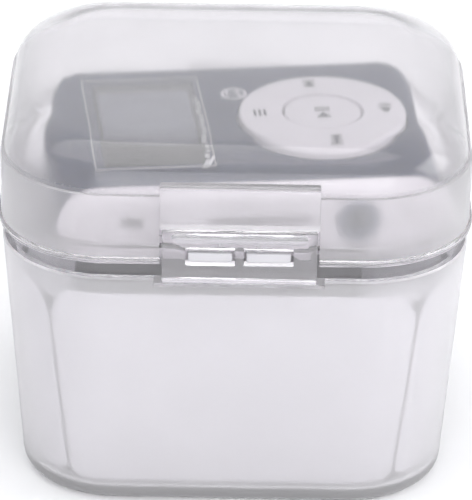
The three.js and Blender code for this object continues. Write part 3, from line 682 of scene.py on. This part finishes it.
def make_latch():
    width = LATCH_WIDTH - 2 * GAP
    plate = block(centred(LATCH_X, width), (LATCH_FRONT_Y, LATCH_BACK_Y),
                  (FLAP_BOTTOM_Z, OPENING_TOP_Z - GAP), 0.2)
    for side in (-0.5, 0.5):
        cut(plate, block(centred(LATCH_X + side * WINDOW_PITCH, WINDOW_WIDTH), (-THROUGH, THROUGH), WINDOW_Z))
    lip = block(centred(LATCH_X, width), (LATCH_FRONT_Y - LIP_STAND, LATCH_FRONT_Y + 0.2),
                (FLAP_BOTTOM_Z, FLAP_BOTTOM_Z + LIP_HEIGHT), 0.15)
    join(plate, thumb_ridge(), lip)
    for side in (-0.5, 0.5):
        rib = block(centred(LATCH_X + side * RIB_PITCH, RIB_WIDTH),
                    (LATCH_FRONT_Y - RIB_STAND, LATCH_FRONT_Y + 0.2), (WINDOW_Z[1], RIDGE_Z), 0.1)
        join(plate, rib)
    round_edges(plate, 0.08, 2, 60)
    finish_piece(plate, 35)
    place_piece(plate, "latch_tongue", "latch", "frosted_case", [LOOKS["clear"], LOOKS["catch"]],
                ["latch_flap"])
    paint_faces(plate, lambda c: c.y < LATCH_FRONT_Y - 0.05, 1)


# ---------- Card insert ----------

def card_section(level, inset=0.0):
    return tub_section(level, WALL + CARD_CLEARANCE + inset)


def corner_gap(side):
    """The narrow gap between two card panels. It opens out at the top and at the bottom."""
    inner_edge = [(22.6, -1), (19.4, 2.2), (20.6, 4), (22, 17), (22.9, 27), (22.2, 29.2), (20.2, 32)]
    outer_edge = [(27, 32), (24.1, 29.2), (23.3, 27), (22.3, 17), (21, 4), (22.2, 2.2)]
    outline = inner_edge + outer_edge
    plate = prism([(side * x, z) for x, z in outline], (0.5, THROUGH))
    plate.data.transform(Matrix.Rotation(math.pi / 2, 4, "X"))
    return plate


def make_card():
    bottom = FLOOR + GAP
    corner = bottom + 1.5
    outside = loft("card", [card_section(bottom, 1.4), card_section(bottom + 0.5, 0.6),
                            card_section(corner), card_section(CARD_TOP_Z)], 10)
    inside = loft("inside", [card_section(bottom + CARD, 1.9), card_section(bottom + 1, 1.1),
                             card_section(corner + CARD, CARD), card_section(CARD_TOP_Z + 1, CARD)], 10)
    cut(outside, inside)
    for side in (-1, 1):
        cut(outside, corner_gap(side))
    finish_piece(outside, 30)
    place_piece(outside, "card_box", "case", "card", [LOOKS["card"]], ["carton_box"])

    edge = CARD + GAP + 0.1
    shelf = loft("shelf", [card_section(TRAY_TOP_Z - CARD, edge), card_section(TRAY_TOP_Z, edge)], 10)
    window = block(TRAY_WINDOW_X, TRAY_WINDOW_Y, (TRAY_TOP_Z - 2, TRAY_TOP_Z + 1), 0.4)
    cut(shelf, window)
    tab_x = TRAY_WINDOW_X[0] - GAP
    tab = block((tab_x - CARD, tab_x), centred(TAB_Y, TAB_WIDTH), (TRAY_TOP_Z - CARD, TAB_TOP_Z), 0.12)
    join(shelf, tab)
    round_edges(shelf, 0.08)
    finish_piece(shelf)
    place_piece(shelf, "card_shelf", "case", "card", [LOOKS["card"]], ["carton_tray"])


# ---------- Player casing ----------

def body_section(level, inset=0.0):
    radius = MIDDLE_Z - inset
    return (level, PLAYER_LENGTH / 2 - inset, radius, radius)


def body_loft(name, sections):
    """A loft through the body's end profiles. The level is the distance towards the front."""
    piece = loft(name, sections, 16)
    piece.data.transform(Matrix.Translation((0, 0, MIDDLE_Z * MM)) @ Matrix.Rotation(math.pi / 2, 4, "X"))
    return piece


def make_shell():
    half = SHELL_HALF_DEPTH
    chamfer = 0.12
    sleeve = body_loft("sleeve", [body_section(-half, chamfer), body_section(-half + chamfer),
                                  body_section(half - chamfer), body_section(half, chamfer)])
    hollow = body_loft("hollow", [body_section(-half - 1, PLAYER_WALL), body_section(half + 1, PLAYER_WALL)])
    wheel_hole = rod("z", WHEEL_RADIUS + GAP, (MIDDLE_Z, THROUGH), (WHEEL_X, 0), 72)
    display_hole = block(DISPLAY_X, DISPLAY_Y, (MIDDLE_Z, THROUGH))
    cut(sleeve, hollow, wheel_hole, display_hole)
    for side in (-1, 1):
        cut(sleeve, rod("z", CLIP_SCREW_RADIUS, (-1, 2), (CLIP_SCREW_X, side * CLIP_SCREW_Y), 20))
    finish_piece(sleeve, 30)
    place_in_player(sleeve, "metal_sleeve", "player", "shell_metal", [LOOKS["shell"]],
                    replaces=["player_shell"])


def cap_blank(name):
    """An end cap facing the front: a plug, a flange with a soft bevel and a shallow recessed face."""
    plug = PLAYER_WALL + 0.15
    flange = SHELL_HALF_DEPTH + 0.15
    plug_sections = [body_section(SHELL_HALF_DEPTH - 1.2, plug), body_section(flange, plug)]
    bevel = [(0, 0.16), (0.06, 0.1), (0.35, 0.5), (0.65, 0.84)]
    bevel_sections = [body_section(flange + forward, inset) for forward, inset in bevel]
    nose = [(0.25, 1.3), (0.08, 1.55), (0, 1.9)]
    nose_sections = [body_section(CAP_FRONT - back, inset) for back, inset in nose]
    cap = body_loft(name, plug_sections + bevel_sections + nose_sections)
    dish = [(0.3, 2.85), (0.25, 2.7), (0.1, 2.6), (-1, 2.6)]
    recess = body_loft("recess", [body_section(CAP_FRONT - back, inset) for back, inset in dish])
    return cut(cap, recess)


def slot_tool(centre, size, depth_y, radius):
    """A round-cornered cutter along Y. The centre and size are in X and Z."""
    tool = loft("slot", [(depth_y[0], size[0] / 2, size[1] / 2, radius),
                         (depth_y[1], size[0] / 2, size[1] / 2, radius)], 6)
    tool.data.transform(Matrix.Translation((centre[0] * MM, 0, centre[1] * MM))
                        @ Matrix.Rotation(math.pi / 2, 4, "X"))
    return tool


def make_front_cap():
    cap = cap_blank("front_cap_blank")
    behind_face = (10, THROUGH)
    jack_hole = rod("y", JACK_NOSE + GAP, (-THROUGH, -10), (JACK_X, JACK_Z), 48)
    card_hole = slot_tool(CARD_SLOT[:2], CARD_SLOT[2:], behind_face, 0.5)
    recess = slot_tool((SWITCH_X, SWITCH_Z), SWITCH_SIZE, (CAP_FRONT - SWITCH_RECESS, THROUGH), 0.9)
    slot = slot_tool(SWITCH_SLOT[:2], SWITCH_SLOT[2:], behind_face, 0.4)
    led_hole = rod("y", LED_RADIUS, (-THROUGH, -10), (LED_X, LED_Z), 20)
    cut(cap, jack_hole, card_hole, recess, slot, led_hole)
    finish_piece(cap, 30)
    place_in_player(cap, "front_end_cap", "player", "white_plastic", [LOOKS["white"]], replaces=["front_cap"])


def make_rear_cap():
    cap = cap_blank("rear_cap_blank")
    usb_hole = slot_tool((0, sum(USB_Z) / 2), (2 * (USB_HALF + GAP), USB_Z[1] - USB_Z[0] + 2 * GAP),
                         (10, THROUGH), 0.6)
    cut(cap, usb_hole)
    cap.data.transform(Matrix.Rotation(math.pi, 4, "Z"))
    finish_piece(cap, 30)
    place_in_player(cap, "rear_end_cap", "player", "white_plastic", [LOOKS["white"]], replaces=["rear_cap"])


# ---------- Controls ----------

def make_wheel():
    top = FACE_Z + WHEEL_HEIGHT
    lip = 0.25
    steps = 6
    edge = []
    for i in range(steps, -1, -1):
        angle = i / steps * math.pi / 2
        edge.append((WHEEL_RADIUS - WHEEL_EDGE + WHEEL_EDGE * math.sin(angle),
                     top - WHEEL_EDGE + WHEEL_EDGE * math.cos(angle)))
    underside = FACE_Z - 1.4
    ring = turned([(0, underside), (WHEEL_RADIUS, underside), *edge, (WHEEL_INNER + lip, top), (0, top)],
                  "z", (WHEEL_X, 0), 96)
    hole = turned([(0, 0), (WHEEL_INNER, 0), (WHEEL_INNER, top - 0.2), (WHEEL_INNER + 0.06, top - 0.06),
                   (WHEEL_INNER + lip, top + 0.01), (WHEEL_INNER + lip, THROUGH), (0, THROUGH)],
                  "z", (WHEEL_X, 0), 96)
    cut(ring, hole)
    finish_piece(ring, 30)
    place_in_player(ring, "wheel", "ring", "white_plastic", [LOOKS["white"]], replaces=["control_ring"])


def make_button():
    foot = FACE_Z - 2.9
    rim = FACE_Z + WHEEL_HEIGHT - BUTTON_DROP
    dish = rim - BUTTON_DISH
    button = turned([(0, foot), (BUTTON_RADIUS, foot), (BUTTON_RADIUS, rim - 0.2),
                     (BUTTON_RADIUS - 0.06, rim - 0.06), (BUTTON_RADIUS - 0.2, rim),
                     (BUTTON_RADIUS - 0.9, dish), (0, dish)], "z", (WHEEL_X, 0), 96)
    finish_piece(button, 30)
    place_in_player(button, "centre_button", "play", "white_plastic", [LOOKS["white"]],
                    replaces=["play_button"])


def icon(name, shapes, centre, body, z, material="ink", height=0.03, slot="dark_plastic"):
    """Printed marks. Each outline is drawn upright, then turned so that its top is towards -X."""
    pieces = []
    for outline in shapes:
        turned_outline = [(centre[0] - up, centre[1] + right) for right, up in outline]
        pieces.append(prism(turned_outline, (z, z + height)))
    piece = merge(pieces)
    return place_in_player(piece, name, body, slot, [LOOKS[material]])


def bar(centre_x, centre_y, width, height):
    left, right = centred(centre_x, width)
    low, high = centred(centre_y, height)
    return [(left, low), (right, low), (right, high), (left, high)]


def arrow(tip_x, width, half_height):
    return [(tip_x, 0), (tip_x - width, half_height), (tip_x - width, -half_height)]


def skip_shapes(direction):
    """Two arrow heads and a bar."""
    first = arrow(0.05, 0.75, 0.85)
    second = arrow(0.8, 0.75, 0.85)
    heads = [[(direction * x, y) for x, y in head] for head in (first, second)]
    return [*heads, bar(direction * 0.98, 0, 0.26, 1.7)]


def arc_band(radius, thickness, start, end, steps=8):
    """Part of a ring, between two angles in degrees."""
    outer = []
    inner = []
    for i in range(steps + 1):
        angle = math.radians(start + (end - start) * i / steps)
        outer.append((radius * math.cos(angle), radius * math.sin(angle)))
        inner.append(((radius - thickness) * math.cos(angle), (radius - thickness) * math.sin(angle)))
    return outer + inner[::-1]


def ellipse(centre_x, centre_y, half_x, half_y, steps=20):
    return [(centre_x + half_x * math.cos(2 * math.pi * i / steps),
             centre_y + half_y * math.sin(2 * math.pi * i / steps)) for i in range(steps)]


def note_shapes(size):
    """Two notes joined by a beam."""
    shapes = [ellipse(-0.75, -1.0, 0.55, 0.42), ellipse(0.85, -0.7, 0.55, 0.42),
              bar(-0.3, 0.1, 0.22, 2.2), bar(1.3, 0.4, 0.22, 2.2),
              [(-0.41, 0.9), (1.41, 1.2), (1.41, 1.65), (-0.41, 1.35)]]
    return [[(size * x, size * y) for x, y in outline] for outline in shapes]


def speaker_shapes():
    """A loudspeaker with two waves."""
    cone = [(-1.1, -0.4), (-0.6, -0.4), (0, -0.95), (0, 0.95), (-0.6, 0.4), (-1.1, 0.4)]
    return [cone, arc_band(0.75, 0.26, -50, 50), arc_band(1.3, 0.26, -50, 50)]


def make_icons():
    ring_z = FACE_Z + WHEEL_HEIGHT
    button_z = ring_z - BUTTON_DROP - BUTTON_DISH
    play = [arrow(-0.2, 1.5, 1.0), bar(0.45, 0, 0.32, 2), bar(1.15, 0, 0.32, 2)]
    menu = [bar(0, y, 1.8, 0.34) for y in (-0.65, 0, 0.65)]
    ring = [arc_band(1.75, 0.4, 0, 180), arc_band(1.75, 0.4, 180, 360)]
    icon("icon_play", play, (WHEEL_X, 0), "play", button_z)
    icon("icon_next", skip_shapes(1), (WHEEL_X - ICON_SHIFT, KEY_CIRCLE), "ring", ring_z)
    icon("icon_previous", skip_shapes(-1), (WHEEL_X + ICON_SHIFT, -KEY_CIRCLE), "ring", ring_z)
    icon("icon_menu", menu, (WHEEL_X - KEY_CIRCLE, 0), "ring", ring_z)
    icon("icon_volume", speaker_shapes(), (WHEEL_X + KEY_CIRCLE, 0), "ring", ring_z)
    icon("icon_note", note_shapes(0.7) + ring, BADGE_AT, "player", FACE_Z, "white", 0.03, "white_plastic")


# ---------- Screen ----------

def make_display():
    glass = block(ACTIVE_X, ACTIVE_Y, ACTIVE_Z, 0.02, 1)
    place_in_player(glass, "lcd_active_area", "player", "lcd_glass", [LOOKS["lcd"]])

    window = block((DISPLAY_X[0] + GAP, DISPLAY_X[1] - GAP), (DISPLAY_Y[0] + GAP, DISPLAY_Y[1] - GAP),
                   (FACE_Z - WINDOW_THICKNESS, FACE_Z), 0.12)
    place_in_player(window, "screen_window", "player", "clear_window", [LOOKS["window"]],
                    replaces=["display_window"])


def make_film():
    low = FILM_BASE_Z
    half_x = (FILM_X[1] - FILM_X[0]) / 2
    half_y = (FILM_Y[1] - FILM_Y[0]) / 2
    corner = 0.4
    film = loft("film", [(low, half_x, half_y, corner), (low + FILM_THICKNESS, half_x, half_y, corner)], 5)
    film.data.transform(Matrix.Translation((sum(FILM_X) / 2 * MM, sum(FILM_Y) / 2 * MM, 0)))
    place_in_player(film, "film_sheet", "player", "clear_film", [LOOKS["film"]], replaces=["screen_film"])

    rim_z = (low, low + 0.14)
    rim = [block(centred(x, FILM_RIM), FILM_Y, rim_z, 0.03, 1) for x in FILM_X]
    rim += [block(FILM_X, centred(y, FILM_RIM), rim_z, 0.03, 1) for y in FILM_Y]
    place_in_player(merge(rim), "film_rim", "player", "clear_film", [LOOKS["film_edge"]])


def make_pull_tab():
    """The film's corner tab, which curls over on itself."""
    curl = []
    for i in range(9):
        angle = math.radians(-20 + i * 20)
        curl.append((math.sin(angle) * 0.5, 0.5 - 0.5 * math.cos(angle)))
    start_x = FILM_X[1] - 1.6
    start_y = FILM_Y[0] - 0.7
    length = 2.2
    slant = 0.35
    vertices = []
    for thickness in (0, 0.09):
        for along in (0, length):
            for x, z in curl:
                vertices.append((start_x + x * 1.6 + along * slant, start_y + along,
                                 FILM_BASE_Z + 0.1 + z * 0.45 + thickness))
    count = len(curl)
    faces = []
    for i in range(count - 1):
        faces.append((i, i + 1, count + i + 1, count + i))
        faces.append((2 * count + i, 3 * count + i, 3 * count + i + 1, 2 * count + i + 1))
        faces.append((i, 2 * count + i, 2 * count + i + 1, i + 1))
        faces.append((count + i, count + i + 1, 3 * count + i + 1, 3 * count + i))
    for i in (0, count - 1):
        faces.append((i, count + i, 3 * count + i, 2 * count + i))
    tab = to_object("tab", vertices, faces)
    mesh = bmesh.new()
    mesh.from_mesh(tab.data)
    bmesh.ops.recalc_face_normals(mesh, faces=mesh.faces)
    mesh.to_mesh(tab.data)
    mesh.free()
    place_in_player(tab, "film_pull_tab", "player", "clear_film", [LOOKS["film_edge"]])


def make_film_marks():
    """A broken line of short bars along the film's right edge."""
    lengths = (1.1, 0.5, 0.8, 1.3, 0.5, 0.9, 0.6, 1.2, 0.7, 1.0, 0.5, 1.1, 0.8)
    space = 0.45
    shift = 0.12
    top = FILM_BASE_Z + FILM_THICKNESS
    marks = []
    at = FILM_Y[0] + 2.2
    for i, length in enumerate(lengths):
        x = FILM_X[1] - 0.75 + (shift if i % 3 else -shift)
        marks.append(block(centred(x, 0.62), (at, at + length), (top, top + 0.02)))
        at += length + space
    place_in_player(merge(marks), "film_marks", "player", "clear_film", [LOOKS["film_edge"]])


# ---------- Sockets and clip ----------

def make_jack_contact():
    """The plated sleeve inside the earphone socket."""
    tube = rod("y", JACK_BORE - 0.03, (-CAP_FRONT + 1, -6), (JACK_X, JACK_Z), 40)
    cut(tube, rod("y", JACK_BORE - 0.25, (-THROUGH, -5), (JACK_X, JACK_Z), 40))
    finish_piece(tube)
    place_in_player(tube, "jack_contact", "player", "plated_steel", [LOOKS["steel"]])


def make_spring():
    """The clip's torsion spring: five turns of wire and two straight legs."""
    wire = 0.18
    radius = 0.8
    turns = 5
    half = 2.2
    leg_x = 9
    steps = 16
    last = turns * steps + steps // 2
    points = [(leg_x, -half, CLIP_PIN_Z + radius)]
    for i in range(last + 1):
        angle = math.pi / 2 - 2 * math.pi * i / steps
        along = -half + 2 * half * i / last
        points.append((CLIP_PIN_X + radius * math.cos(angle), along, CLIP_PIN_Z + radius * math.sin(angle)))
    points.append((leg_x, half, CLIP_PIN_Z - radius))
    curve = bpy.data.curves.new("spring", "CURVE")
    curve.dimensions = "3D"
    curve.bevel_depth = wire * MM
    curve.bevel_resolution = 3
    curve.use_fill_caps = True
    spline = curve.splines.new("POLY")
    spline.points.add(len(points) - 1)
    for point, (x, y, z) in zip(spline.points, points):
        point.co = (x * MM, y * MM, z * MM, 1)
    spring = bpy.data.objects.new("spring", curve)
    bpy.context.scene.collection.objects.link(spring)
    place_in_player(spring, "coil_spring", "player", "spring_steel", [LOOKS["spring"]],
                    replaces=["clip_spring"])


# ---------- CAD nodes that keep their shape ----------

# Each node's look, and how far its edges are rounded.
KEPT_NODES = {
    "lcd_panel": ("black_glass", 0.12),
    "lcd_frame": ("dark", 0.12),
    "display_flex": ("copper", 0.05),
    "main_board": ("board", 0.06),
    "controller_chip": ("chip", 0.1),
    "memory_chip": ("chip", 0.1),
    "card_socket": ("steel", 0.06),
    "jack_socket": ("dark", 0.15),
    "usb_socket": ("steel", 0.1),
    "switch_body": ("steel", 0.06),
    "switch_knob": ("white", 0.1),
    "status_led": ("lens", 0.1),
    "battery": ("foil", 0.5),
    "battery_tape": ("foam", 0.08),
    "ring_flange": ("white", 0.06),
    "key_dome_play": ("steel", 0.05),
    "key_dome_menu": ("steel", 0.05),
    "key_dome_volume": ("steel", 0.05),
    "key_dome_previous": ("steel", 0.05),
    "key_dome_next": ("steel", 0.05),
    "clip_plate": ("clip", 0.15),
    "clip_bracket": ("steel", 0.12),
    "clip_pin": ("spring", 0.08),
    "clip_nut_plate": ("steel", 0.1),
    "clip_screw_front": ("steel", 0.08),
    "clip_screw_rear": ("steel", 0.08),
}


def dress_kept_nodes():
    for name, (look, edge) in KEPT_NODES.items():
        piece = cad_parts[name]
        piece.data.materials.clear()
        piece.data.materials.append(LOOKS[look])
        round_edges(piece, edge, 2, 50)


# ---------- Stage, lights and camera ----------

LIGHT_TARGET = Vector((0, 0, 0.03))


def area_light(name, place, size, power):
    """A square lamp, aimed at the middle of the object. Lengths are metres, and the power is watts."""
    lamp = bpy.data.lights.new(name, "AREA")
    lamp.size = size
    lamp.energy = power
    light = bpy.data.objects.new(name, lamp)
    light.location = place
    light.rotation_mode = "QUATERNION"
    light.rotation_quaternion = (LIGHT_TARGET - Vector(place)).to_track_quat("-Z", "Y")
    bpy.context.scene.collection.objects.link(light)


def make_floor():
    half = 3000
    corners = [(-half, -half, 0), (half, -half, 0), (half, half, 0), (-half, half, 0)]
    floor = to_object("floor", corners, [(0, 1, 2, 3)])
    look = Look("floor_paper")
    shader = look.principled((0.8, 0.8, 0.805), 0.85)
    paper = look.noise(6.0, 3.0)
    look.link(look.two_tone(paper, (0.795, 0.795, 0.8), (0.805, 0.805, 0.81)), shader.inputs["Base Color"])
    floor.data.materials.append(look.close(shader.outputs["BSDF"]))


def make_lights():
    world = bpy.data.worlds.new("studio")
    world.use_nodes = True
    background = world.node_tree.nodes["Background"]
    background.inputs["Color"].default_value = (0.965, 0.975, 1, 1)
    background.inputs["Strength"].default_value = 1.0
    bpy.context.scene.world = world
    bpy.context.scene.view_settings.view_transform = "Standard"

    area_light("top_light", (-0.1, 0.1, 0.7), 0.6, 1.2)
    area_light("front_light", (0.15, -0.8, 0.45), 0.8, 4.5)
    area_light("left_light", (-0.6, -0.1, 0.35), 0.4, 0.3)
    area_light("right_light", (0.6, 0, 0.35), 0.4, 1.4)


def make_camera():
    elevation = math.radians(27.2)
    tilt = math.radians(0.97)
    distance = 0.497
    aim = Vector((0, 0, 0.0242))
    data = bpy.data.cameras.new("camera")
    data.lens = 269.4
    data.sensor_width = 36
    data.shift_x = 0.0026
    data.shift_y = 0.004
    camera = bpy.data.objects.new("camera", data)
    back = Vector((0, -math.cos(elevation), math.sin(elevation)))
    camera.location = aim + back * distance
    camera.rotation_mode = "QUATERNION"
    roll = Matrix.Rotation(tilt, 4, "Z").to_quaternion()
    camera.rotation_quaternion = (-back).to_track_quat("-Z", "Y") @ roll
    bpy.context.scene.collection.objects.link(camera)
    bpy.context.scene.camera = camera


make_tub()
make_lid()
make_latch()
make_card()
make_shell()
make_front_cap()
make_rear_cap()
make_wheel()
make_button()
make_icons()
make_display()
make_film()
make_pull_tab()
make_film_marks()
make_jack_contact()
make_spring()
dress_kept_nodes()
make_floor()
make_lights()
make_camera()
